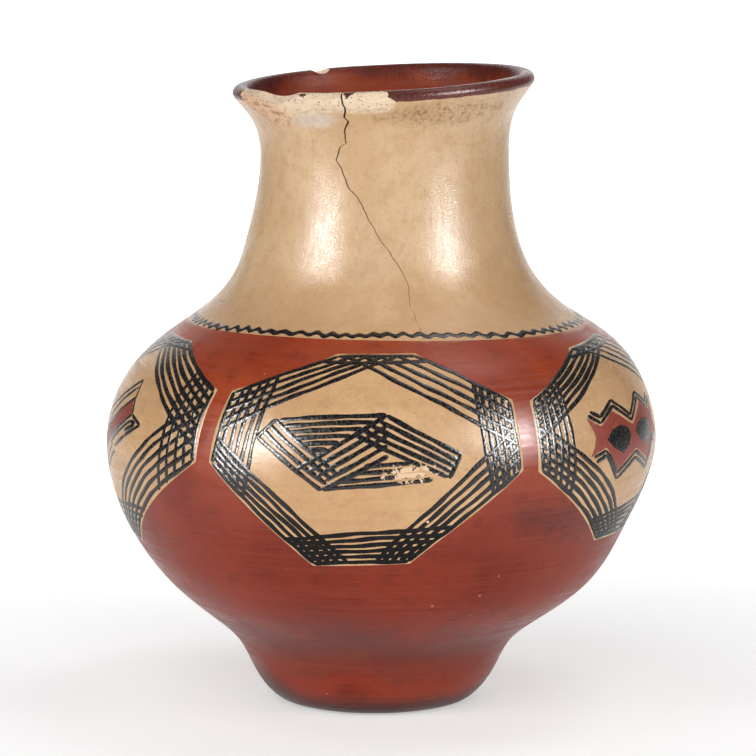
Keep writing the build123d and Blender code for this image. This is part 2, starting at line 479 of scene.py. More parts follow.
# %% Pores of bare clay
def pores_effect():
    """Pores where grains of temper fell out of bare clay, and the clay's roughness."""
    group, w, given, out = new_effect("clay_pores", {}, ["Pores", "Rough"])
    far, chance, _ = w.cells(given["Vector"], 640.0)
    few = w.ramp(chance, 0.33, 0.35)
    w.put(out["Pores"], w.math("MULTIPLY", w.ramp(far, 0.10, 0.26, 1.0, 0.0), few))
    w.put(out["Rough"], w.noise(given["Vector"], 520.0, 5, 0.7))
    return group


PORES = pores_effect()
print("made", PORES.name)

# %% [markdown]
# ## Sparse spots
#
# Specks, flakes and scratches are all sparse spots of some size and share, stretched or
# not. One effect makes them all, and noise frays their edges.

# %% Sparse spots
def spots_effect():
    """Sparse ragged spots. Share is how many of the scattered points have one, Size how large it grows."""
    group, w, given, out = new_effect("sparse_spots", {"Scale": 50.0, "Share": 0.2, "Size": 0.1}, ["Mask"])
    far, chance, growth = w.cells(given["Vector"], given["Scale"])
    edge = w.noise(given["Vector"], w.math("MULTIPLY", given["Scale"], 9.0), 3, 0.7)
    fray = w.math("MULTIPLY", w.math("SUBTRACT", edge, 0.5), w.math("MULTIPLY", given["Size"], 1.6))
    far = w.math("ADD", far, fray)
    reach = w.math("MULTIPLY", given["Size"], w.math("ADD", w.math("MULTIPLY", growth, 0.8), 0.3))
    spot = w.math("LESS_THAN", far, reach)
    w.put(out["Mask"], w.math("MULTIPLY", spot, w.math("LESS_THAN", chance, given["Share"])))
    return group


SPOTS = spots_effect()
print("made", SPOTS.name)

# %% [markdown]
# ## Colours and materials
#
# Colours are given as they look on screen and turned into linear light, which is what a
# shader works with. Each material starts from the usual surface shader.

# %% Colours and materials
def effect(w, group, vector=None, **values):
    """One of the shared effects, placed in a material."""
    made = w.node("ShaderNodeGroup")
    made.node_tree = group
    w.put(made.inputs["Vector"], vector or w.place())
    for key, value in values.items():
        w.put(made.inputs[key], value)
    return made.outputs


def srgb(red, green, blue):
    """A colour as it looks on screen, 0 to 255, turned into linear light."""
    light = [v / 255 / 12.92 if v <= 10 else ((v / 255 + 0.055) / 1.055) ** 2.4 for v in (red, green, blue)]
    return (*light, 1.0)


def material(name):
    """A new material with its wiring and its surface shader."""
    made = bpy.data.materials.new(name)
    made.use_nodes = True
    return made, Wiring(made.node_tree), made.node_tree.nodes["Principled BSDF"]


print("shared effects:", ", ".join(group.name for group in (BURNISH, MOTTLE, PORES, SPOTS)))

# %% [markdown]
# ## Red slip of foot, belly and shoulder
#
# Red slip is iron-rich clay thinned with water, mopped on and rubbed with a stone while
# damp. It is brick red and brighter on the shoulder, greyer at the waist, and darkened by
# smoke where the foot stood in the ash, with painted shade laid into the same dark band near
# the floor. Small flakes and scratches show the paler clay.
# Heights drive the colour zones, and noise bends their borders so that none is ruled.

# %% Red slip
def red_slip():
    """Brick red slip, greyer at the waist, and smoked at the foot with painted shade near the floor."""
    made, w, shader = material("polished_red_slip")
    mottle, streaks = effect(w, MOTTLE), effect(w, BURNISH, Level=1.0)
    height = w.axis("Z")
    wavy = w.ragged(height, mottle["Clouds"], 0.012)
    low = w.mix(mottle["Clouds"], srgb(120, 39, 23), srgb(140, 50, 31))
    high = w.mix(mottle["Clouds"], srgb(148, 54, 27), srgb(172, 71, 36))
    colour = w.mix(w.ramp(wavy, 0.09, 0.16), low, high)
    waist = w.math("MULTIPLY", w.ramp(wavy, 0.014, 0.026), w.ramp(wavy, 0.036, 0.058, 1.0, 0.0))
    colour = w.tint(colour, waist, 0.65, srgb(94, 50, 44))
    foot = w.math("MULTIPLY", w.ramp(wavy, 0.008, 0.018), w.ramp(wavy, 0.024, 0.038, 1.0, 0.0))
    colour = w.tint(colour, foot, 0.22, srgb(172, 66, 34))
    # The dark band at the foot is smoke of the fire together with painted shade where the foot turns under
    # towards the floor, and it reaches higher at the left and right.
    band_rise_at_sides = w.ramp(w.math("ABSOLUTE", w.axis("X")), 0.034, 0.064, 0.0, 0.011)
    smoke = w.ramp(w.math("SUBTRACT", w.ragged(height, mottle["Blots"], 0.006), band_rise_at_sides), 0.003, 0.013, 1.0, 0.0)
    colour = w.tint(colour, smoke, 0.9, srgb(46, 34, 30))
    colour = w.tint(colour, w.ramp(mottle["Blots"], 0.50, 0.68), 0.35, srgb(98, 38, 32))
    cloud = w.ramp(w.ragged(w.read("cloud_mm"), mottle["Blots"], 14.0), -2.0, 9.0)
    colour = w.tint(colour, cloud, 0.5, srgb(84, 34, 30))
    colour = w.tint(colour, w.ramp(streaks["Streak"], 0.4, 0.8), 0.25, srgb(160, 80, 60))
    dark = effect(w, SPOTS, Scale=170.0, Share=0.12, Size=0.09)["Mask"]
    colour = w.tint(colour, dark, 0.6, srgb(74, 32, 30))
    flakes = effect(w, SPOTS, w.stretch(w.place(), (1, 1, 1.7)), Scale=42.0, Share=0.10, Size=0.055)["Mask"]
    upright = w.stretch(w.place(), (7, 7, 1), (0.2, 0.1, 0))
    tall = effect(w, SPOTS, upright, Scale=34.0, Share=0.035, Size=0.10)["Mask"]
    colour = w.tint(colour, w.math("MAXIMUM", flakes, tall), 0.75, srgb(206, 158, 134))
    grains = effect(w, SPOTS, Scale=620.0, Share=0.5, Size=0.16)["Mask"]
    grains = w.math("MULTIPLY", grains, w.ramp(w.noise(w.place(), 38.0, 2), 0.58, 0.68))
    colour = w.tint(colour, grains, 0.55, srgb(196, 122, 80))
    w.put(shader.inputs["Base Color"], colour)
    w.put(shader.inputs["Roughness"], w.ramp(streaks["Gloss"], 0.0, 1.0, 0.26, 0.42, smooth=False))
    w.put(shader.inputs["Specular IOR Level"], w.ramp(height, 0.07, 0.13, 0.15, 0.4))
    normal = w.bump(streaks["Streak"], 0.06, 0.0004)
    w.put(shader.inputs["Normal"], w.bump(mottle["Blots"], 0.18, 0.0006, normal))
    return made


RED = red_slip()
print("red slip nodes:", len(RED.node_tree.nodes))

# %% [markdown]
# ## Cream slip
#
# The neck and the panels carry a cream slip of pale clay. The stone went up and down the
# neck and round the belly, so the neck's streaks are upright and the panels' level. Tiny
# dark specks are iron grains that burned through.

# %% Cream slip, and the panels' finish
def cream_slip(name, light, dark, stain, level):
    """A cream slip: its material, its surface, its colour and its bump, to be worn and painted further."""
    made, w, shader = material(name)
    mottle, streaks = effect(w, MOTTLE), effect(w, BURNISH, Level=level)
    colour = w.mix(mottle["Clouds"], dark, light)
    colour = w.tint(colour, w.ramp(mottle["Blots"], 0.46, 0.7), 0.45, stain)
    colour = w.tint(colour, w.ramp(streaks["Streak"], 0.45, 0.68), 0.4, stain)
    colour = w.tint(colour, w.ramp(w.noise(w.place(), 420.0, 4, 0.7), 0.52, 0.72), 0.35, srgb(168, 122, 82))
    colour = w.tint(colour, w.ramp(mottle["Grain"], 0.45, 0.68), 0.3, stain)
    specks = effect(w, SPOTS, Scale=330.0, Share=0.3, Size=0.12)["Mask"]
    fibres = effect(w, SPOTS, w.stretch(w.place(), (1, 1, 4)), Scale=110.0, Share=0.22, Size=0.10)["Mask"]
    colour = w.tint(colour, w.math("MAXIMUM", specks, fibres), 0.5, srgb(122, 82, 52))
    rough = w.ramp(streaks["Gloss"], 0.0, 1.0, 0.17, 0.32, smooth=False)
    rough = w.math("ADD", rough, w.ramp(mottle["Grain"], 0.42, 0.6, 0.0, 0.14))
    normal = w.bump(streaks["Streak"], 0.10, 0.0004)
    normal = w.bump(mottle["Blots"], 0.15, 0.0005, normal)
    normal = w.bump(mottle["Grain"], 0.45, 0.0003, normal)
    return made, w, shader, colour, rough, normal, mottle


def panel_slip():
    """Cream slip of the panels, rubbed pale in spots."""
    made, w, shader, colour, rough, normal, mottle = cream_slip(
        "polished_cream_panel", srgb(224, 183, 136), srgb(207, 162, 115), srgb(192, 143, 95), 1.0)
    rubbed = effect(w, SPOTS, w.stretch(w.place(), (1, 1, 2.5)), Scale=80.0, Share=0.08, Size=0.08)["Mask"]
    colour = w.tint(colour, rubbed, 0.4, srgb(240, 212, 180))
    w.put(shader.inputs["Base Color"], colour)
    w.put(shader.inputs["Roughness"], rough)
    w.put(shader.inputs["Normal"], normal)
    return made


PANEL = panel_slip()
print("cream panel nodes:", len(PANEL.node_tree.nodes))

# %% [markdown]
# ## Streaks, pits and the red of the mouth
#
# Three parts of the finish of neck and lip have names of their own. The mouth wears the
# same red, so it uses that one too, and the finish is easier to read without them.

# %% Streaks, pits and the red of the mouth
def streaks_of(w):
    """The upright streaks of the neck, for whatever was rubbed with the grain."""
    return effect(w, BURNISH, Level=0.0)["Streak"]


def worn_pits(w):
    """Larger pits and scratches in the bare clay, gathered in patches."""
    pits = effect(w, SPOTS, Scale=420.0, Share=0.5, Size=0.16)["Mask"]
    return w.math("MULTIPLY", pits, w.ramp(w.noise(w.place(), 90.0, 2), 0.5, 0.6))


def mouth_red(w, mottle):
    """Red slip of lip and mouth: dark on the lip, smoke-stained under it, and orange-red further in."""
    red = w.mix(mottle["Clouds"], srgb(118, 38, 16), srgb(152, 62, 28))
    red = w.tint(red, w.ramp(mottle["Blots"], 0.5, 0.7), 0.4, srgb(98, 44, 32))
    dark = w.mix(mottle["Clouds"], srgb(82, 35, 28), srgb(108, 46, 36))
    dark = w.tint(dark, w.ramp(mottle["Blots"], 0.5, 0.7), 0.5, srgb(70, 38, 35))
    return w.mix(w.ramp(w.ragged(w.read("lip_mm"), mottle["Clouds"], 7.0), 11.0, 18.0), dark, red)


print("helpers for the neck:", ", ".join(step.__name__ for step in (streaks_of, worn_pits, mouth_red)))

# %% [markdown]
# ## Neck and lip, with bare clay, grime and the crack
#
# One finish covers neck and lip, because the damage runs across both. Cream slip goes up to
# the roll of the lip, and dark red slip goes over it. At the front left the roll has spalled
# off and shows pale, pitted clay, with an orange wedge of worn clay down the neck beside it
# and a rubbed grey patch. Handling left grime under the lip at the right. Each of these is
# an attribute in mm, measured inwards from the edge of its area, and noise roughens the edge.

# %% Finish of neck and lip
def neck_and_lip():
    """Cream slip up the neck and dark red over the lip, with bare clay, grime, stains and the crack."""
    made, w, shader, colour, rough, normal, mottle = cream_slip(
        "neck_and_worn_lip", srgb(228, 196, 154), srgb(211, 174, 131), srgb(198, 153, 106), 0.0)
    pores = effect(w, PORES)
    low = w.ramp(w.ragged(w.axis("Z"), mottle["Clouds"], 0.04), 0.185, 0.225, 1.0, 0.0)
    colour = w.tint(colour, low, 0.6, srgb(198, 154, 110))

    grey = w.ramp(w.ragged(w.read("grey_mm"), mottle["Blots"], 6.0), -0.8, 2.4)
    grey = w.math("MULTIPLY", grey, w.ramp(streaks_of(w), 0.35, 0.6, 1.0, 0.65))
    colour = w.tint(colour, grey, 0.85, srgb(230, 216, 204))
    grime = w.math("MULTIPLY", w.ramp(w.ragged(w.read("grime_mm"), mottle["Blots"], 9.0), -1.5, 4.0),
                   w.ramp(w.noise(w.place(), 480.0, 5, 0.8), 0.46, 0.6))
    colour = w.tint(colour, grime, 0.65, srgb(118, 92, 62))

    lip = w.ramp(w.ragged(w.read("lip_mm"), mottle["Blots"], 1.6), -0.1, 0.25)
    worn = effect(w, SPOTS, Scale=300.0, Share=0.35, Size=0.12)["Mask"]
    worn = w.math("MULTIPLY", worn, w.ramp(w.read("lip_mm"), 6.0, 10.0, 1.0, 0.0))
    colour = w.mix(lip, colour, w.tint(mouth_red(w, mottle), worn, 0.5, srgb(160, 112, 98)))

    orange = w.ramp(w.ragged(w.read("orange_mm"), mottle["Blots"], 8.0), -3.0, 4.0)
    clay = w.mix(mottle["Blots"], srgb(248, 216, 180), srgb(255, 236, 208))
    clay = w.tint(clay, orange, 0.6, srgb(236, 184, 140))
    clay = w.tint(clay, w.ramp(pores["Rough"], 0.5, 0.66), 0.45, srgb(214, 160, 116))
    scars = w.noise(w.stretch(w.place(), (150, 150, 420), (0, 0.75, 0)), 1.0, 4, 0.7)
    scars = w.math("MULTIPLY", orange, w.ramp(scars, 0.52, 0.62))
    clay = w.tint(clay, scars, 0.6, srgb(160, 104, 70))
    clay = w.tint(clay, w.math("MAXIMUM", pores["Pores"], worn_pits(w)), 0.8, srgb(116, 76, 52))
    edge = w.ragged(w.ragged(w.read("bare_mm"), pores["Rough"], 3.0), mottle["Blots"], 4.0)
    below = w.ramp(w.read("lip_mm"), -4.0, 0.0, 1.0, 0.0)
    bare = w.ramp(edge, w.math("MULTIPLY", below, -1.6), w.math("ADD", w.math("MULTIPLY", below, 2.0), 0.2))
    colour = w.mix(bare, colour, clay)
    crack = w.ramp(w.math("ABSOLUTE", w.read("crack_halves")), 0.6, 1.15, 1.0, 0.0)
    colour = w.mix(crack, colour, srgb(42, 26, 17))
    w.put(shader.inputs["Base Color"], colour)

    handled = w.math("MAXIMUM", grime, w.math("MULTIPLY", grey, 0.6))
    dull = w.math("MULTIPLY", w.math("MAXIMUM", bare, handled), 0.85)
    w.put(shader.inputs["Roughness"], w.math("MAXIMUM", rough, dull))
    w.put(shader.inputs["Specular IOR Level"], w.ramp(w.read("lip_mm"), 7.0, 12.0, 0.5, 0.2))
    pitted = w.math("MULTIPLY", w.math("SUBTRACT", pores["Rough"], pores["Pores"]), w.ramp(edge, 0.0, 2.5))
    w.put(shader.inputs["Normal"], w.bump(pitted, 0.8, 0.0012, normal))
    return made


NECK = neck_and_lip()
print("neck and lip nodes:", len(NECK.node_tree.nodes))

# %% [markdown]
# ## Mouth and inside
#
# Red slip was mopped down inside the mouth. Below it the clay is bare, with the marks of the
# scraping gourd. The photo doesn't show the inside below the mouth, so this follows how such
# jars are made.

# %% Mouth and scraped inside
RED_INSIDE_TO = 0.226       # height in m where the red of the mouth stops


def mouth_slip():
    """Red slip down to a ragged edge inside, and bare scraped clay below it."""
    made, w, shader = material("red_mouth_and_scraped_inside")
    mottle, streaks, pores = effect(w, MOTTLE), effect(w, BURNISH, Level=1.0), effect(w, PORES)
    clay = w.mix(mottle["Clouds"], srgb(150, 104, 72), srgb(182, 134, 96))
    clay = w.tint(clay, pores["Pores"], 0.5, srgb(92, 62, 44))
    edge = w.ragged(w.axis("Z"), mottle["Blots"], 0.02)
    inside = w.ramp(edge, RED_INSIDE_TO - 0.004, RED_INSIDE_TO + 0.004, 1.0, 0.0)
    w.put(shader.inputs["Base Color"], w.mix(inside, mouth_red(w, mottle), clay))
    gloss = w.ramp(streaks["Gloss"], 0.0, 1.0, 0.42, 0.62, smooth=False)
    shader.inputs["Specular IOR Level"].default_value = 0.2
    w.put(shader.inputs["Roughness"], w.math("MAXIMUM", gloss, w.math("MULTIPLY", inside, 0.85)))
    normal = w.bump(streaks["Streak"], 0.25, 0.0008)
    w.put(shader.inputs["Normal"], w.bump(w.math("MULTIPLY", pores["Rough"], inside), 0.6, 0.001, normal))
    return made


MOUTH = mouth_slip()
print("mouth nodes:", len(MOUTH.node_tree.nodes))

# %% [markdown]
# ## The smoked base
#
# A pot fired outdoors stands in fuel and ash. So the unslipped clay under it is stained in
# clouds, and its pores are open. The photo doesn't show the underside, so this is a guess.

# %% The smoked base
def smoked_base():
    """Unslipped clay under the pot, grey-brown from the fire."""
    made, w, shader = material("smoked_base_clay")
    mottle, pores = effect(w, MOTTLE), effect(w, PORES)
    colour = w.mix(mottle["Clouds"], srgb(66, 50, 44), srgb(120, 78, 58))
    colour = w.tint(colour, w.ramp(mottle["Blots"], 0.5, 0.7), 0.6, srgb(150, 112, 86))
    colour = w.tint(colour, pores["Pores"], 0.5, srgb(40, 30, 26))
    w.put(shader.inputs["Base Color"], colour)
    w.put(shader.inputs["Roughness"], w.ramp(mottle["Blots"], 0.2, 0.8, 0.6, 0.9))
    w.put(shader.inputs["Normal"], w.bump(pores["Rough"], 0.5, 0.0008))
    return made


SMOKED = smoked_base()
print("finishes so far:", ", ".join(m.name for m in (RED, PANEL, NECK, MOUTH, SMOKED)))

# %% [markdown]
# ## Where the walls meet, and where the crack runs
#
# Body, neck and lip share the outline, so they meet without a step. The crack in neck and
# lip is a real groove, made by lowering their points. Its turns were read off the photo as
# azimuth and height, and a small jitter keeps it from running straight between them.

# %% Where the walls meet, and where the crack runs
NECK_LINE = 176.0                                # height where cream slip meets red
NECK_START = float(along_at(NECK_LINE))
LIP_START, LIP_END = CREST_AT - 12.6, CREST_AT + 10.0
LIP_PAINT = CREST_AT - 7.3                       # lower edge of the dark red on the lip
CRACK = [   # azimuth and height of each turn of the crack, from the lip down
    (-17.0, 290.0), (-16.4, 283.0), (-15.1, 277.5), (-15.9, 273.2), (-14.6, 271.0), (-17.8, 266.5),
    (-17.2, 261.2), (-20.4, 259.4), (-22.1, 253.7), (-19.4, 247.9), (-16.0, 240.3), (-11.4, 236.9),
    (-7.2, 228.7), (-3.3, 222.2), (3.7, 211.8), (9.9, 199.8), (9.3, 189.5), (11.2, 181.3), (11.2, 172.0),
]
# Half the crack's width, by height.
CRACK_HALF = ([172, 181, 200, 250, 262, 272, 290], [0.02, 0.07, 0.12, 0.22, 0.24, 0.42, 0.45])
CRACK_DEPTH = 1.3


def crack_azimuth(height):
    """Where the crack runs at this height: its turns, with a small jitter between them."""
    turns = np.array(CRACK[::-1])
    jitter = 0.35 * np.sin(height / 1.9) * np.sin(height / 5.3 + 1) + 0.12 * np.sin(height / 0.83 + 2)
    return np.interp(height, turns[:, 1], turns[:, 0]) + jitter


print("the crack leaves the lip at azimuth", round(float(crack_azimuth(CREST_HEIGHT)), 1))

# %% [markdown]
# ## Columns beside the crack
#
# A crack is finer than the grid of the wall. So the columns of points start and end at the
# crack and stand close together beside it, and all of them bend with it, less and less
# towards the back.

# %% Columns beside the crack
def neck_columns():
    """Azimuths of the columns, from the crack round to the crack, closer together beside it."""
    close = np.array([0.0, 0.11, 0.22, 0.34, 0.5, 0.75, 1.1])
    return np.concatenate([-close[:0:-1], close, np.linspace(1.8, 358.2, 450)])


print("columns round the neck:", len(neck_columns()))

# %% [markdown]
# ## Chips of the lip
#
# A knock takes a shell-shaped flake off a rim. A ball that cuts into the lip leaves the same
# hollow, so each point of the lip inside the ball is pushed out onto its surface.

# %% Chips of the lip
CHIPS = [   # azimuth, width, depth and slant of each bite, close to the CAD part's
    (-47, 32, 4.0, 25), (-23, 20, 2.0, 35), (-5, 18, 2.2, 55), (-152.8, 9, 2.8, -8),
]
ROLL_RADIUS, ROLL_CENTRE, LIP_DRIFT = 3.5, 64.8, 1.0    # the lip's roll: its size, its place and its drift


def chip_ball(azimuth, width, depth, slant):
    """Centre and radius of the ball that bites a chip out of the lip."""
    ball = (width * width / 4 + depth * depth) / (2 * depth)
    lift, turn, lean = math.radians(slant), math.radians(azimuth), math.radians(RIM_LEAN)
    out = ROLL_CENTRE + (ROLL_RADIUS + ball - depth) * math.sin(lift)
    up = (ROLL_RADIUS + ball - depth) * math.cos(lift) - ROLL_RADIUS
    right = out * math.sin(turn)
    return np.array([LIP_DRIFT + right * math.cos(lean) - up * math.sin(lean), -out * math.cos(turn),
                     CREST_HEIGHT + right * math.sin(lean) + up * math.cos(lean)]), ball


def bite_off(points):
    """Pushes points that a chip has taken down onto its hollow, and says how deep they lay in it."""
    deep = np.full(points.shape[:-1], -20.0)
    for chip in CHIPS:
        centre, ball = chip_ball(*chip)
        off = points - centre
        far = np.linalg.norm(off, axis=-1, keepdims=True)
        deep = np.maximum(deep, ball - far[..., 0])
        points = np.where(far < ball, centre + off * (ball / far), points)
    return points, deep


print("the chips are bitten by balls of", [round(chip_ball(*chip)[1], 1) for chip in CHIPS], "mm")

# %% [markdown]
# ## The join of cream and red, and the bare clay
#
# The join was laid by eye and isn't level. At the front left the roll of the lip has come
# off, and two bits of red have stayed on it.

# %% The join and the bare clay
SPALL = [       # azimuth and height of the corners of the bare clay
    (-70, 283), (-65.6, 279), (-61.7, 274.6), (-57, 269.6), (-53, 267.8), (-49, 267), (-44.8, 267.8),
    (-42, 271), (-37, 274), (-28, 275.6), (-17, 276), (-9, 275), (3, 275.2), (4.8, 279.5), (-2, 284.6),
    (-70, 284.6),
]


def neck_dip(azimuth):
    """The join of cream and red isn't level: it rises at the front left and the back, and dips at the sides."""
    return 2.2 * np.cos(2 * np.radians(azimuth + 16)) - 1.0


def bare_clay(places):
    """How many mm each (azimuth, along) place lies inside the bare clay at the front left of the lip."""
    upper = 1.3 - (places[..., 1] - CREST_AT)
    spall = inside_of(places, *SPALL)
    top = (places[..., 1] > CREST_AT - 1) & (places[..., 0] > -68) & (places[..., 0] < -2)
    spall = np.where(top, np.maximum(spall, 1.5), spall)
    left_red = 1.1 - np.hypot((places[..., 0] + 32.6) * WIDE / 1.6, places[..., 1] - (CREST_AT - 2.2))
    down = (CREST_AT - places[..., 1]) / 5.0
    right_red = 3.2 * (1 - down) - np.abs(places[..., 0] + 13.2 + down) * WIDE
    return np.minimum(np.minimum(spall, upper), np.minimum(-left_red, -right_red))


print("the join rises by", np.round(neck_dip(np.array([0.0, 90.0])), 2).tolist(), "mm at front and right")

# %% [markdown]
# ## Foot, belly and shoulder
#
# The lower part of the pot is a plain grid, which reaches from the floor to just over the
# join.

# %% Foot, belly and shoulder
BODY_ROWS, BODY_COLUMNS = 170, 480
BODY_OVERLAP = 0.6                        # body and neck run this far past their join
DARK_CLOUD = (44.0, 97.0, 24.0, 11.0)     # azimuth, height, and half its width and height


def body_wall():
    """Foot, belly and shoulder, from the floor to just over the join."""
    azimuth = np.linspace(-180, 180, BODY_COLUMNS, endpoint=False)
    along = np.linspace(0, 1, BODY_ROWS)[:, None] * (NECK_START + BODY_OVERLAP + neck_dip(azimuth))
    points = wall_point(azimuth, along)
    grid = round_grid(BODY_ROWS, BODY_COLUMNS).tolist()
    piece = make_piece("red_slip_body", points.reshape(-1, 3), grid, round_uv(BODY_ROWS, BODY_COLUMNS))
    turn, height, wide, high = DARK_CLOUD
    off = np.hypot((azimuth - turn) / wide, (along - along_at(height) - 0.3 * (turn - azimuth)) / high)
    attribute(piece, "cloud_mm", high * (1 - off))
    piece.data.materials.append(RED)
    return piece


body = body_wall()
print("faces of the body:", len(body.data.polygons))

# %% [markdown]
# ## The inside
#
# Such jars are scraped inside with a piece of gourd, which leaves broad shallow marks. The
# wall closes at the floor of the pot with a small round face.

# %% The inside
INSIDE_ROWS, INSIDE_COLUMNS, INSIDE_OVERLAP = 160, 288, 0.4


def inside_wall():
    """The mouth and the inside down to its floor, with shallow scraping marks."""
    rows, columns = INSIDE_ROWS, INSIDE_COLUMNS
    along = np.linspace(LIP_END - INSIDE_OVERLAP, END_AT, rows)[:, None]
    azimuth = np.linspace(-180, 180, columns, endpoint=False)
    turn = np.radians(azimuth)
    scrape = 0.35 * np.sin(5 * turn + along / 9) * np.sin(2 * turn - along / 14)
    scrape = scrape * np.clip((along - LIP_END) / 20, 0, 1) * np.clip((END_AT - along) / 30, 0, 1)
    points = wall_point(azimuth, along, scrape - 0.05).reshape(-1, 3)
    last = np.arange((rows - 1) * columns, rows * columns)

    def fill(corners):
        cap = 0.002 * np.stack([np.cos(turn), np.sin(turn)], -1) + 0.005
        return np.vstack([round_uv(rows, columns)(corners[:-columns]), cap])
    piece = make_piece("mouth_and_inside", points, round_grid(rows, columns).tolist() + [last.tolist()], fill)
    attribute(piece, "lip_mm", np.repeat(along - LIP_PAINT, columns))
    piece.data.materials.append(MOUTH)
    return piece


inside = inside_wall()
print("faces of the inside:", len(inside.data.polygons))

# %% [markdown]
# ## The underside
#
# The base was pressed flat on the ground. It is hollowed by a third of a millimetre, so that
# the pot stands on its outer round.

# %% The underside
def underside():
    """The pressed base, hollowed a little so that the pot stands on its outer round."""
    rings, columns, flat, centre = 24, 160, RINGS[0, 1], RINGS[0, 2]
    radius = np.linspace(flat, 1.0, rings)[:, None]
    turn = np.radians(np.linspace(-180, 180, columns, endpoint=False))
    rise = 0.02 + 0.35 * (1 - (radius / flat) ** 4)
    points = np.broadcast_arrays(centre + radius * np.sin(turn), -radius * np.cos(turn), rise)
    points = np.stack(points, -1).reshape(-1, 3)
    last = np.arange((rings - 1) * columns, rings * columns)

    def fill(corners):
        return 0.5 + 0.48 * (points[corners, :2] - (centre, 0)) / flat
    faces = round_grid(rings, columns)[:, ::-1].tolist() + [last[::-1].tolist()]
    piece = make_piece("underside", points, faces, fill)
    piece.data.materials.append(SMOKED)
    return piece


base = underside()
print("faces of the underside:", len(base.data.polygons))

# %% [markdown]
# ## Neck and lip
#
# Neck and lip are one kind of grid. The groove, the spall and the chips are shaped into its
# points, and the areas of wear go with them as attributes.

# %% Neck and lip
NECK_ROWS, LIP_ROWS, LIP_OVERLAP = 180, 70, 0.2
SPALL_DEPTH = 1.1
SPALL_FADE = ([-2, 0, 3, 7, 12, 14], [0, 0.4, 1, 0.7, 0.25, 0])     # share of it, by mm below the crest
ORANGE_WEDGE = [(-75, 284), (-66, 264), (-38, 262), (-41, 275), (-56, 284)]


def upper_grid(name, start, end, rows, dip=0.0):
    """A stretch of neck or lip, with the crack's groove, the spall and the chips."""
    columns, share = neck_columns(), np.linspace(0, 1, rows)[:, None]
    follow = np.cos(np.radians(columns) / 2) ** 2
    along = (start + dip * neck_dip(columns + follow * crack_azimuth(NECK_LINE))) * (1 - share) + end * share
    height, radius, _ = np.moveaxis(profile(along), -1, 0)
    azimuth = columns + follow * crack_azimuth(height)
    azimuth = (azimuth + 180) % 360 - 180
    gap = np.radians((columns + 180) % 360 - 180) * radius
    half = np.interp(height, *CRACK_HALF)
    fade = np.clip((CREST_AT + 6 - along) / 4, 0, 1)
    groove = CRACK_DEPTH * fade * np.clip(1.25 - np.abs(gap) / half, 0, 1) * np.clip(half / 0.15, 0.2, 1)
    places = np.stack(np.broadcast_arrays(azimuth, along), -1)
    bare = bare_clay(places)
    worn = SPALL_DEPTH * np.clip(bare / 0.9, 0, 1) * np.interp(CREST_AT - along, *SPALL_FADE)
    points = wall_point(azimuth, along, -np.maximum(groove, worn))
    points, chip = bite_off(points)
    count = len(columns)
    piece = make_piece(name, points.reshape(-1, 3), round_grid(rows, count).tolist(), round_uv(rows, count))
    attribute(piece, "bare_mm", np.maximum(bare, 3 * chip + 0.3))
    attribute(piece, "crack_halves", gap / half)
    attribute(piece, "lip_mm", places[..., 1] - LIP_PAINT)
    attribute(piece, "orange_mm", inside_of(places, *ORANGE_WEDGE))
    tilt = along_at(272.4) + 0.1 * (azimuth + 30)
    attribute(piece, "grey_mm", 5.0 - 5.0 * np.hypot((azimuth + 30) / 13.5, (along - tilt) / 6.0))
    attribute(piece, "grime_mm", 8.0 - 8.0 * np.hypot((azimuth - 27) / 34, (along - along_at(272.5)) / 7.5))
    piece.data.materials.append(NECK)
    return piece


neck = upper_grid("cream_neck", NECK_START - BODY_OVERLAP, LIP_START, NECK_ROWS, dip=1.0)
lip = upper_grid("rolled_lip", LIP_START - LIP_OVERLAP, LIP_END, LIP_ROWS)
print("faces:", {piece.name: len(piece.data.polygons) for piece in (body, neck, lip, inside, base)})

# %% [markdown]
# ## Black and red paint
#
# The black is plant juice boiled down and mixed with ground iron ore. It fires to a hard
# gloss that breaks up into grains. The red of the motifs is the body's slip again. Old
# paint flakes off in bits and shows the cream below it, most at the front motif's right end.

# %% Black and red paint
def paint(name, deep, bright, gloss_low, gloss_high):
    """Fired paint that breaks up into grains, and flakes off down to the cream slip."""
    made, w, shader = material(name)
    grain = w.noise(w.place(), 900.0, 3, 0.65)
    thin = w.ramp(w.noise(w.place(), 240.0, 3, 0.6), 0.62, 0.75)
    colour = w.mix(w.ramp(grain, 0.4, 0.75), deep, bright)
    lost = w.ragged(w.read("flake"), w.noise(w.place(), 430.0, 4, 0.75), 2.4)
    bits = effect(w, SPOTS, Scale=150.0, Share=0.05, Size=0.10)["Mask"]
    bare = w.math("MAXIMUM", w.ramp(lost, 0.5, 0.54), bits)
    colour = w.mix(bare, w.tint(colour, thin, 0.35, srgb(92, 74, 62)), srgb(232, 196, 156))
    w.put(shader.inputs["Base Color"], colour)
    gloss = w.ramp(grain, 0.3, 0.7, gloss_low, gloss_high)
    w.put(shader.inputs["Roughness"], w.math("MAXIMUM", gloss, w.math("MULTIPLY", bare, 0.6)))
    w.put(shader.inputs["Specular IOR Level"], w.ramp(w.axis("Z"), 0.09, 0.13, 0.15, 0.8))
    w.put(shader.inputs["Normal"], w.bump(grain, 0.5, 0.0003))
    return made


BLACK = paint("boiled_plant_black", srgb(13, 11, 11), srgb(33, 29, 28), 0.12, 0.38)
RED_PAINT = paint("red_clay_paint", srgb(142, 48, 30), srgb(166, 66, 42), 0.3, 0.5)
print("paints:", BLACK.name, RED_PAINT.name)

# %% [markdown]
# ## Paint that lies on the wall
#
# All paint of one colour becomes one piece. A filled shape is a sheet of small triangles
# inside its outline. It follows the wall and stands a little proud of it.

# %% Paint that lies on the wall
BELLY_MM = 2.12         # mm of belly wall in one degree
STEP = 1.2              # mm from point to point along a stroke or an edge


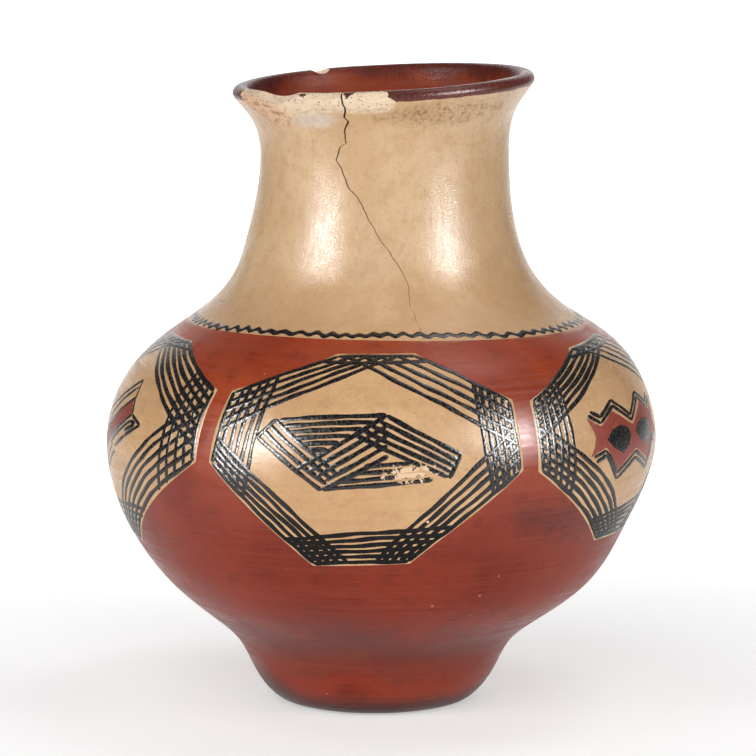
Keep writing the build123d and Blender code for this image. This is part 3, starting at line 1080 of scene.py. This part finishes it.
class Paint:
    """Paint on the wall, gathered into one piece."""

    def __init__(self, seed, base):
        self.points, self.faces, self.flat, self.flakes = [], [], [], []
        self.random, self.count, self.base, self.strokes = np.random.default_rng(seed), 0, base, 0

    def add(self, flat, lift, faces, flake=None):
        """Points on the wall at (azimuth, along), with their faces."""
        points = wall_point(flat[:, 0], flat[:, 1], lift)
        self.points.append(points)
        self.faces += (np.asarray(faces) + self.count).tolist()
        self.flat.append(flat)
        self.flakes.append(flake(flat) if flake else np.zeros(len(flat)))
        self.count += len(points)
        self.strokes += 1

    def fill(self, corners, centre, proud):
        """A filled shape inside its corners."""
        scale = np.array([BELLY_MM, 1.0])
        outline = marks(*corners) * scale
        edge = []
        for a, b in zip(outline, np.roll(outline, -1, 0)):
            t = np.arange(0, 1, STEP / max(STEP, np.linalg.norm(b - a)))
            edge += (a + (b - a) * t[:, None]).tolist()
        edge = np.array(edge) + self.random.uniform(-0.15, 0.15, (len(edge), 2))
        low, high = edge.min(0), edge.max(0)
        across, up = np.meshgrid(np.arange(low[0], high[0], STEP), np.arange(low[1], high[1], STEP))
        spots = [Vector(p) for p in edge] + [Vector(p) for p in zip(across.ravel(), up.ravel())]
        points, _, faces, *_ = delaunay_2d_cdt(spots, [], [list(range(len(edge)))], 1, 1e-4)
        flat = np.array([p[:] for p in points]) / scale + (centre, 0)
        triangles = [list(f) for f in faces]
        self.add(flat, self.base + proud, triangles)

    def piece(self, name, material_used):
        """All the paint so far, as one piece of one material."""
        points, flat = np.vstack(self.points), np.vstack(self.flat)
        low, high = flat.min(0), flat.max(0)

        def fill(corners):
            return 0.01 + 0.98 * (flat[corners] - low) / (high - low)
        made = make_piece(name, points, self.faces, fill)
        attribute(made, "flake", np.concatenate(self.flakes))
        made.data.materials.append(material_used)
        return made


print("paint is laid in points", STEP, "mm apart")

# %% [markdown]
# ## Brush strokes
#
# Each stroke is a thin ribbon of paint laid over the slip, as a yucca brush leaves it: nearly
# even, swelling and thinning a little, with rounded ends. A tapering ribbon of five points
# across gives that. Several strokes at once make a hatch, and one after another a trail.

# %% A brush
STROKE = 2.15           # width of a black line
LINE_LIFT = 0.1         # how far a line stands proud of the slip


class Brush(Paint):
    """Paint laid in strokes."""

    def ribbon(self, azimuth, along, width, sway, flake=None, upright=False):
        """A ribbon along a path. Its edges lie on the slip and its middle stands proud of it.
        An upright one is as wide straight up the wall, so that it can't fold over in tight waves."""
        across = np.array([-0.5, -0.42, 0.0, 0.42, 0.5])
        proud = LINE_LIFT + self.random.uniform(-0.01, 0.01)
        rise = self.base + np.array([0.015, 0.9, 1.1, 0.9, 0.015]) * proud
        # Known fault: mm are counted from azimuth 0, so a stroke that runs up the wall is skewed and thinned,
        # the more the further it stands from the front. Counting from the stroke's own middle would mend it.
        mm_wide = np.radians(profile(along)[:, 1])
        path = np.stack([azimuth * mm_wide, along], -1)
        step = np.gradient(path, axis=0)
        t = np.concatenate([[0], np.cumsum(np.linalg.norm(np.diff(path, axis=0), axis=1))])
        step /= np.linalg.norm(step, axis=1)[:, None]
        side = np.tile((0.0, 1.0), (len(path), 1)) if upright else np.stack([-step[:, 1], step[:, 0]], -1)
        a, b = self.random.uniform(0, 6.28, 2)
        shift = sway * (np.sin(t / 6.5 + a) + 0.5 * np.sin(t / 2.7 + b))
        fat = width * (1 + 0.12 * np.sin(t / 4.1 + b) + 0.06 * np.sin(t / 1.7 + a))
        to_end = np.clip(np.minimum(t, t[-1] - t) / (0.4 * width), 0, 1)
        fat = fat * (0.45 + 0.55 * np.sqrt(1 - (1 - to_end) ** 2))
        where = path[:, None] + side[:, None] * (shift[:, None] + across * fat[:, None])[..., None]
        rows, columns = where.shape[:2]
        flat = np.stack([where[..., 0] / mm_wide[:, None], where[..., 1]], -1).reshape(-1, 2)
        r, c = np.meshgrid(np.arange(rows - 1), np.arange(columns - 1), indexing="ij")
        low = r * columns + c
        faces = np.stack([low, low + columns, low + columns + 1, low + 1], -1).reshape(-1, 4)
        self.add(flat, np.tile(rise, rows), faces, flake)

    def stroke(self, start, end, width, centre=0.0, bow=0.0, sway=0.15, flake=None):
        """A stroke between two (azimuth, along) points, bowed to its right by so many mm."""
        (a0, s0), (a1, s1) = start, end
        across, rise = (a1 - a0) * BELLY_MM, s1 - s0
        length = math.hypot(across, rise)
        t = np.linspace(0, 1, max(4, int(length / STEP) + 2))
        arch = 4 * bow * t * (1 - t) / length
        self.ribbon(centre + a0 + (a1 - a0) * t + arch * rise / BELLY_MM, s0 + rise * t - arch * across,
                    width, sway, flake)

    def hatch(self, first, last, count, bow=0.0, **settings):
        """Several strokes, spread evenly from the first one to the last. The bow shrinks towards the last."""
        first, last = marks(*first), marks(*last)
        for k in range(count):
            start, end = first + (last - first) * (k / (count - 1))
            self.stroke(start, end, bow=bow * (1 - k / count), **settings)

    def trail(self, places, **settings):
        """Strokes from mark to mark."""
        path = marks(*places)
        for start, end in zip(path[:-1], path[1:]):
            self.stroke(start, end, **settings)


print("brush ready: lines", STROKE, "mm wide and", LINE_LIFT, "mm proud")

# %% [markdown]
# ## The panels and their woven borders
#
# Five cream panels with eight sides go round the belly. Along each side runs a band of
# parallel lines from one neighbouring side to the other, so two bands cross at each corner
# and look woven. So a band needs only four numbers: how many lines it has, how far its
# innermost line has moved back along the side before and on along the side after, as
# shares of those sides, and how far it bows inwards. The side panels differ a little from
# the front one, as the hand did. The two panels at the back can't be seen in the photo:
# their borders repeat the front's.

# %% Corners and bands of the panels
CORNERS = [     # azimuth from the panel's middle and height, clockwise from the top left
    (-9.3, 171.7), (11.4, 172.1), (33.0, 152.9), (33.5, 123.0),
    (11.1, 82.6), (-10.5, 81.1), (-33.4, 125.1), (-32.5, 155.4),
]
LEFT_CORNERS = [
    (-11.4, 169.9), (10.3, 170.2), (34.0, 154.9), (33.7, 124.4), (3.0, 78.8), (-11.5, 79.8), *CORNERS[6:],
]
RIGHT_CORNERS = [
    (-11.4, 169.2), (10.2, 170.9), *CORNERS[2:5], (-8.8, 83.6), (-33.6, 121.7), (-33.4, 151.7),
]
SIDES = ["top", "upper_right", "right", "lower_right", "bottom", "lower_left", "left", "upper_left"]
MIDDLE = (0.0, 128.0)
BORDER_INSET = 0.972    # the outermost lines stand this share of the way from the middle to the edge
FRONT_BORDER = {
    "top": (2, 0.17, 0.15, 0.0), "upper_right": (5, 0.89, 0.64, -1.0), "right": (6, 0.37, 0.25, 1.2),
    "lower_right": (5, 0.61, 0.35, 2.5), "bottom": (6, 0.40, 0.26, 1.2), "lower_left": (5, 0.36, 0.34, 2.5),
    "left": (6, 0.33, 0.41, 1.2), "upper_left": (5, 0.56, 0.79, -1.5),
}
LEFT_BORDER = {**FRONT_BORDER, "upper_right": (7, 0.95, 0.80, -2.0), "right": (5, 0.37, 0.34, 1.2),
               "lower_right": (6, 0.80, 0.55, 7.0)}
RIGHT_BORDER = {**FRONT_BORDER, "upper_left": (6, 0.55, 0.87, -1.5), "left": (6, 0.34, 0.36, 1.2),
                "lower_left": (6, 0.53, 0.62, 3.5)}

print("lines in the front border:", sum(band[0] for band in FRONT_BORDER.values()))

# %% [markdown]
# ## The cream patch of a panel
#
# A panel is a patch of cream slip over the red. Its rings of points grow from the middle,
# which a fan of triangles closes, out to the eight-sided edge. The outermost ring dips under
# the red, so that the edge has no gap.

# %% The cream patch of a panel
PANEL_LIFT = 0.05       # the panels' slip lies this far over the red


def panel_patch(number, centre, outline):
    """The cream patch of one panel: rings of points from its middle out to its eight-sided edge."""
    corners = np.array(outline + outline[:1], float)
    edge = np.vstack([np.linspace(a, b, 40, endpoint=False) for a, b in zip(corners[:-1], corners[1:])])
    rings = np.append(np.linspace(0.02, 1.0, 46), 1.003)
    flat = np.array(MIDDLE) + rings[:, None, None] * (edge - MIDDLE)
    lift = np.where(rings > 1, -PANEL_LIFT, PANEL_LIFT)[:, None]
    points = wall_point(flat[..., 0] + centre, along_at(flat[..., 1]), lift).reshape(-1, 3)
    points = np.vstack([points, wall_point(MIDDLE[0] + centre, along_at(MIDDLE[1]), PANEL_LIFT)])
    spread = (np.vstack([flat.reshape(-1, 2), MIDDLE]) - (0, 126)) / (72, 96)
    count, hub = len(edge), len(points) - 1
    faces = round_grid(len(rings), count).tolist() + [[(i + 1) % count, i, hub] for i in range(count)]
    piece = make_piece(f"cream_panel_{number}", points, faces, lambda corners: 0.5 + spread[corners])
    piece.data.materials.append(PANEL)
    return piece


print("a panel spans", max(c[0] for c in CORNERS) - min(c[0] for c in CORNERS), "degrees")

# %% [markdown]
# ## The woven border
#
# Every line of a band starts on one neighbouring side and ends on the other, so it needs only
# the band's four numbers and its own place in the band.

# %% The woven border
def woven_border(brush, centre, outline, bands):
    """The bands of lines along the eight sides of a panel."""
    middle = marks(MIDDLE)
    corners = middle + BORDER_INSET * (marks(*outline) - middle)
    for side, name in enumerate(SIDES):
        count, before, after, bow = bands[name]
        behind, start, end, ahead = (corners[(side + k) % 8] for k in (-1, 0, 1, 2))
        for k in range(count):
            share = k / (count - 1)
            brush.stroke(start + (behind - start) * before * share, end + (ahead - end) * after * share,
                         STROKE, centre, bow * (0.25 + 0.75 * share), sway=0.2)


print("the borders' outermost lines stand", round((1 - BORDER_INSET) * 100, 1), "% in from the edge")

# %% [markdown]
# ## The motifs
#
# The front panel holds a hatched band folded like a Z, with level lines in its two hooks.
# The right one holds two linked red diamonds with black hearts between zigzag lines. The
# left one holds a slanting red bar with a stepped key. These are old shared patterns of
# pueblo pottery, drawn here with a few marks and rules: hatches between two strokes, and
# halves repeated by mirror or half turn where the far side of a motif is out of sight. The
# back panels' motifs are guesses that repeat the front's and the right's.

# %% Folded band of the front motif
FINE = 2.15             # width of the lines in this motif
WORN_AT = (5.6, 124.0)  # azimuth and height of the middle of its flaked patch


def worn_patch(spots):
    """Where the front motif's paint has flaked off: near its right end, most at the middle of the patch."""
    return 0.95 - np.hypot((spots[:, 0] - WORN_AT[0]) / 8.5, (spots[:, 1] - along_at(WORN_AT[1])) / 7.0)


def folded_band(black, red, centre):
    """A hatched band folded like a Z. It has no red."""
    style = {"width": FINE, "centre": centre, "sway": 0.1}
    worn = worn_patch if centre == PANELS[0][0] else None
    black.hatch([(-19.2, 145.6), (-5.3, 124.2)], [(-22.6, 138.1), (-8.1, 116.6)], 4, **style)
    black.hatch([(-13.2, 125.3), (4.5, 148.2)], [(-5.4, 119.5), (5.1, 131.8)], 5, **style)
    black.hatch([(4.5, 148.5), (20.0, 131.5)], [(-1.7, 140.4), (17.2, 122.2)], 5, flake=worn, **style)
    black.trail([(-19.2, 145.6), (-22.6, 138.1)], **style)
    black.trail([(20.0, 131.5), (17.5, 121.6)], flake=worn, **style)
    black.hatch([(-18.3, 145.3), (4.5, 148.5)], [(-11.2, 133.6), (-7.2, 133.9)], 6, bow=-0.8, **style)
    black.hatch([(0.4, 127.3), (10.0, 128.6)], [(-8.1, 117.1), (14.1, 121.3)], 4, flake=worn, **style)
    black.trail([(-8.0, 116.9), (3.6, 129.3)], **style)


print("flaking at the middle of the worn patch:", worn_patch(marks(WORN_AT)).tolist())

# %% [markdown]
# ## The linked diamonds
#
# The far side of the right motif is out of sight in the photo. It is taken to mirror the near
# side, so only one half of each line is written down. The two hearts are one shape, drawn
# twice.

# %% The linked diamonds
DIAMONDS_AXIS = -1.8                # azimuth about which this motif is mirrored
MOTIF_LINE = 1.9                    # width of the lines in the side motifs
FILL_LIFT, HEART_LIFT = 0.06, 0.11  # how far red shapes and hearts stand proud of the slip
HALF_DIAMOND = [(-2.2, 134.7), (-9.4, 142.3), (-14.8, 137.0), (-19.0, 141.5), (-17.9, 137.0), (-17.2, 133.0),
                (-17.9, 129.0), (-19.4, 124.8), (-14.1, 127.8), (-9.9, 116.7), (-2.2, 123.8)]
HEART_HEIGHT = 130.8
HEART = [(-6.2, 0.2), (-3.9, 3.6), (-0.4, 5.0), (3.0, 3.2), (3.9, -0.4), (2.4, -4.6), (-0.2, -7.4), (-3.8, -4.0)]


def mirrored(places):
    """The marks, then those off the motif's axis mirrored about it, in reverse."""
    return list(places) + [(2 * DIAMONDS_AXIS - a, h) for a, h in reversed(places) if a != DIAMONDS_AXIS]


def linked_diamonds(black, red, centre):
    """Two red diamonds with black hearts, between double zigzag lines."""
    red.fill(mirrored(HALF_DIAMOND), centre, FILL_LIFT)
    style = {"width": MOTIF_LINE, "centre": centre, "sway": 0.08}
    for line in ([(-18.4, 142.2), (-14.6, 138.4), (-8.6, 144.4), (DIAMONDS_AXIS, 136.2)],
                 [(-17.4, 143.8), (-14.2, 140.8), (-8.6, 146.8), (DIAMONDS_AXIS, 138.6)],
                 [(-18.3, 124.5), (-14.2, 126.3), (-9.7, 115.2), (DIAMONDS_AXIS, 122.5)],
                 [(-17.6, 122.1), (-14.2, 124.2), (-9.6, 112.6), (DIAMONDS_AXIS, 119.8)]):
        black.trail(mirrored(line), **style)
    for side in (-5.6, 7.0):
        black.fill([(DIAMONDS_AXIS + side + a, HEART_HEIGHT + h) for a, h in HEART], centre, HEART_LIFT)


print("the diamonds are mirrored about azimuth", DIAMONDS_AXIS)

# %% [markdown]
# ## The slanting bar
#
# The far side of the left motif is out of sight too. The bar is taken to look the same after
# half a turn, so again only one half is written down.

# %% The slanting bar
BAR_MIDDLE = (-4.3, 128.0)


def half_turned(places):
    """The marks turned half round the middle of the bar."""
    return [(2 * BAR_MIDDLE[0] - a, 2 * BAR_MIDDLE[1] - h) for a, h in places]


def slanting_bar(black, red, centre):
    """A slanting red bar edged with black, with a stepped key at each end."""
    style = {"width": MOTIF_LINE, "centre": centre, "sway": 0.1}
    end = [(6.0, 144.7), (8.1, 138.4)]
    red.fill(end + half_turned(end), centre, FILL_LIFT)
    strokes = [
        [(5.0, 152.5), (6.8, 145.0), (8.4, 138.6)], [(5.0, 152.5), (-1.2, 145.6), (-9.5, 136.0)],
        [(5.2, 149.4), (-0.8, 142.4), (-7.5, 133.6)], [(6.8, 145.4), half_turned([(8.3, 138.4)])[0]],
        [(8.6, 138.2), (13.4, 135.1), (6.6, 128.2), (1.0, 122.0)], [(8.4, 135.4), (10.9, 134.8), (6.2, 130.4)],
        [(8.4, 135.4), (1.2, 127.5), (-3.0, 122.6)],
    ]
    for line in strokes:
        black.trail(line, **style)
        black.trail(half_turned(line), **style)


print("the bar turns about", BAR_MIDDLE)

# %% [markdown]
# ## Painting the five panels
#
# Each panel has its place, outline, border and motif. The borders and motifs of all five go
# into two pieces, one for the black and one for the red, in the order of the list.

# %% Painting the five panels
PANELS = [      # azimuth of the middle, outline, border, motif
    (-3.9, CORNERS, FRONT_BORDER, folded_band), (66.9, RIGHT_CORNERS, RIGHT_BORDER, linked_diamonds),
    (140.1, CORNERS, FRONT_BORDER, folded_band), (-147.9, CORNERS, FRONT_BORDER, linked_diamonds),
    (-74.6, LEFT_CORNERS, LEFT_BORDER, slanting_bar),
]
panels = [panel_patch(number + 1, centre, outline) for number, (centre, outline, *_) in enumerate(PANELS)]
black, red = Brush(7, PANEL_LIFT), Brush(8, PANEL_LIFT)
for centre, outline, bands, motif in PANELS:
    woven_border(black, centre, outline, bands)
    motif(black, red, centre)
black_paint = black.piece("black_line_paint", BLACK)
red_paint = red.piece("red_motif_paint", RED_PAINT)
print("panels:", len(panels), "black strokes:", black.strokes, "red shapes:", red.strokes)

# %% [markdown]
# ## The wavy line at the root of the neck
#
# A wavy black line hides the join of cream and red slip. It goes right round, a little up
# and down where the hand wandered, with a wave every seven millimetres or so.

# %% The wavy line
WAVE_HEIGHT, WAVES, WAVE_SIZE = 178.0, 76, 0.42
WAVE_WIDTH, POINTS_A_WAVE = 2.75, 8


def neck_line():
    """One upright ribbon right round the neck's root, waved by a hand that speeds up and slows down."""
    brush = Brush(11, 0.0)
    azimuth = np.linspace(-180, 180, WAVES * POINTS_A_WAVE + 1)
    turn = np.radians(azimuth)
    wander = 0.3 * np.sin(3 * turn + 1) + 0.2 * np.sin(7 * turn)
    lope = WAVES * turn + 1.4 * np.sin(5 * turn) + 0.8 * np.sin(11 * turn + 2)
    grows = 1 + 0.3 * np.sin(13 * turn) + 0.7 * np.sin(turn) ** 2
    height = WAVE_HEIGHT + wander + WAVE_SIZE * np.sin(lope) * grows
    brush.ribbon(azimuth, along_at(height) + neck_dip(azimuth), WAVE_WIDTH, sway=0.25, upright=True)
    return brush.piece("black_neck_line", BLACK)


wavy = neck_line()
print("wavy line faces:", len(wavy.data.polygons))

# %% [markdown]
# ## The CAD nodes that the pieces show
#
# Each CAD node that a piece shows is hidden, so that the piece replaces it. The paint and the
# inside stand for no node of their own.

# %% Pieces and the nodes they hide
nodes = list(frame["nodes"])
coils = [n for n in nodes if n.startswith(("foot_coil", "lower_belly", "shoulder")) or n == "red_body_slip"]
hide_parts(*coils)
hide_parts("cream_neck_slip", *[n for n in nodes if n.startswith("neck_coil")])
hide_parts("rim_coil")
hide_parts("base_pat")
for number, panel in enumerate(panels):
    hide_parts(f"painted_panel_{number + 1}")
shown = [*coils, "cream_neck_slip", "rim_coil", "base_pat"]
shown += [n for n in nodes if n.startswith(("neck_coil", "painted_panel"))]
print("nodes replaced:", len(shown), "of", len(nodes))

# %% [markdown]
# ## Studio: pale floor, softboxes and camera
#
# The photo was taken on a white sweep, with a tall softbox at the left, a narrow one at the
# right and a large one overhead. Their places come from where they shine on the glossy slip.
# The sweep glows a little towards the back, so that it stays white as in the photo.

# %% Floor and backdrop
def floor_and_backdrop():
    """A sheet of pale paper that runs flat under the jar and turns up behind it."""
    made, w, shader = material("studio_paper")
    tone = w.noise(w.place(), 3.0, 2)
    w.put(shader.inputs["Base Color"], w.mix(tone, srgb(214, 214, 214), srgb(220, 220, 220)))
    w.put(shader.inputs["Roughness"], w.ramp(tone, 0.3, 0.7, 0.85, 0.95))
    w.put(shader.inputs["Emission Color"], w.mix(tone, srgb(252, 252, 252), srgb(255, 255, 255)))
    w.put(shader.inputs["Emission Strength"], w.ramp(w.axis("Y"), -0.1, 0.9, 0.44, 0.95))
    turn = np.linspace(0, np.pi / 2, 24)
    front, bend, radius, side, top = -1.2, 1.2, 0.6, 0.9, 1.6
    line = [(front, 0.0), (bend, 0.0)]
    line += [(bend + radius * math.sin(a), radius - radius * math.cos(a)) for a in turn[1:]]
    line += [(bend + radius, top)]
    points = [(x, y, z) for y, z in line for x in (-side, side)]
    faces = [(2 * i, 2 * i + 1, 2 * i + 3, 2 * i + 2) for i in range(len(line) - 1)]
    mesh = bpy.data.meshes.new("sweep")
    mesh.from_pydata(points, [], faces)
    mesh.polygons.foreach_set("use_smooth", np.ones(len(faces), bool))
    sweep = bpy.data.objects.new("sweep", mesh)
    bpy.context.scene.collection.objects.link(sweep)
    mesh.materials.append(made)


floor_and_backdrop()
print("backdrop laid")

# %% [markdown]
# ## Softboxes
#
# Each lamp is a rectangle aimed at the jar. Some light only the slip and some show only as a
# shine in it, because the photo has soft shading and hard highlights at the same time.

# %% Softboxes
def softbox(name, azimuth, elevation, distance, width, height, power, lights="both"):
    """A rectangular lamp round the jar, aimed at its middle. It can light the slip, its shine, or both."""
    light = bpy.data.lights.new(name, "AREA")
    light.shape = "RECTANGLE"
    light.size, light.size_y, light.energy = width, height, power
    lamp = bpy.data.objects.new(name, light)
    bpy.context.scene.collection.objects.link(lamp)
    a, e, aim = math.radians(azimuth), math.radians(elevation), Vector((0, 0, 0.14))
    away = Vector((math.sin(a) * math.cos(e), -math.cos(a) * math.cos(e), math.sin(e)))
    lamp.location = aim + distance * away
    lamp.rotation_euler = (aim - lamp.location).to_track_quat("-Z", "Y").to_euler()
    lamp.visible_glossy, lamp.visible_diffuse = lights != "slip", lights != "shine"


softbox("front_fill", -6, 28, 2.2, 1.4, 1.0, 21, lights="slip")
softbox("left_softbox", -54, 20, 1.6, 0.42, 0.62, 5.5, lights="slip")
softbox("left_glint", -53, 18, 1.59, 0.38, 0.54, 31, lights="shine")
softbox("right_strip", 60, 18, 1.6, 0.22, 0.70, 5, lights="slip")
softbox("right_glint", 57, 20, 1.59, 0.28, 0.60, 32, lights="shine")
softbox("overhead", 105, 70, 1.8, 0.6, 0.6, 4)
softbox("overhead_left", -60, 66, 1.8, 0.6, 0.6, 2.5, lights="slip")

# %% [markdown]
# ## World, camera and lens
#
# The photo was taken from a little above the jar, as the round of its mouth shows. A camera
# 2.4 m away with a long lens gives nearly the same view, and the jar's width in the picture
# sets the lens. The world adds a faint even glow.

# %% World, camera and lens
WORLD_GLOW = 0.1
CAMERA_AT, CAMERA_AIM = Vector((-0.0015, -2.4, 0.506)), Vector((-0.0015, 0, 0.1475))
LENS, SENSOR = 254.2, 36.0

world = bpy.data.worlds.new("studio")
bpy.context.scene.world = world
world.use_nodes = True
background = world.node_tree.nodes["Background"]
background.inputs["Color"].default_value = (1.0, 1.0, 1.0, 1.0)
background.inputs["Strength"].default_value = WORLD_GLOW
bpy.context.scene.view_settings.view_transform = "Standard"

camera = bpy.data.objects.new("camera", bpy.data.cameras.new("camera"))
bpy.context.scene.collection.objects.link(camera)
bpy.context.scene.camera = camera
camera.location = CAMERA_AT
camera.rotation_euler = (CAMERA_AIM - CAMERA_AT).to_track_quat("-Z", "Y").to_euler()
camera.data.lens, camera.data.sensor_width = LENS, SENSOR
camera.data.dof.use_dof = False
print("camera", [round(v, 3) for v in camera.location], "lens", camera.data.lens)

# %% [markdown]
# The dressed jar has to stay inside it.
